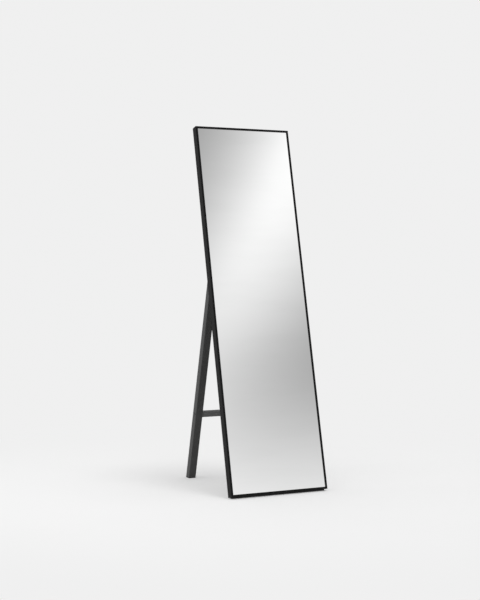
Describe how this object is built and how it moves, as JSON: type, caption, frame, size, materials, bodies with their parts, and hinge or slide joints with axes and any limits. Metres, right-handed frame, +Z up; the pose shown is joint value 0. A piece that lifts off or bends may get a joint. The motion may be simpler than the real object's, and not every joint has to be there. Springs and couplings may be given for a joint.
{
  "type": "floor mirror",
  "caption": "Tall rectangular floor mirror in a slim black frame that leans back on a hinged rear stand with splayed legs and a crossbar.",
  "frame": {"origin": "on the floor, midway across the width and midway between the frame's front edge and the back of the feet, with the stand open", "axes": "+Z up, the mirror's face looks towards -Y and the stand lies towards +Y, +X is to the right of a person who stands in front of the mirror"},
  "size_m": [0.45, 0.563, 1.5653],
  "materials": {
    "frame_coat": "satin",
    "leg_coat": "satin",
    "steel_coat": "satin",
    "silvered_glass": "polished",
    "white_foam": "matte",
    "fibre_board": "matte",
    "clear_grey_rubber": "matte",
    "bare_aluminium": "satin",
    "dark_steel": "satin",
    "black_plastic": "matte",
    "pale_nylon": "matte",
    "black_rubber": "matte"
  },
  "bodies": {
    "mirror": {"top_rail": "frame_coat", "bottom_rail": "frame_coat", "left_stile": "frame_coat", "right_stile": "frame_coat", "mirror_glass": "silvered_glass", "foam_sheet": "white_foam", "backing_board": "fibre_board", "setting_blocks": "clear_grey_rubber", "left_bottom_corner_key": "bare_aluminium", "right_bottom_corner_key": "bare_aluminium", "left_top_corner_key": "bare_aluminium", "right_top_corner_key": "bare_aluminium", "stand_rail": "steel_coat", "rail_slot_nuts": "dark_steel", "rail_screws": "dark_steel", "left_hinge_bracket": "steel_coat", "right_hinge_bracket": "steel_coat", "weld_seams": "steel_coat", "left_pivot_bolt": "dark_steel", "right_pivot_bolt": "dark_steel", "pivot_nuts": "dark_steel", "left_floor_pad": "black_rubber", "right_floor_pad": "black_rubber"},
    "stand": {"left_leg": "leg_coat", "right_leg": "leg_coat", "left_leg_cap": "black_plastic", "right_leg_cap": "black_plastic", "left_foot": "black_rubber", "right_foot": "black_rubber", "left_pivot_sleeve": "pale_nylon", "right_pivot_sleeve": "pale_nylon", "crossbar": "leg_coat", "left_crossbar_insert": "black_plastic", "right_crossbar_insert": "black_plastic", "crossbar_bolts": "dark_steel", "bolt_spacers": "pale_nylon"}
  },
  "joints": [
    {"name": "stand_fold", "type": "hinge", "parent": "mirror", "child": "stand", "pos_m": [0, 0.00031, 0.95492], "axis": [-1, 0, 0], "range_deg": [0, 28.9]}
  ]
}
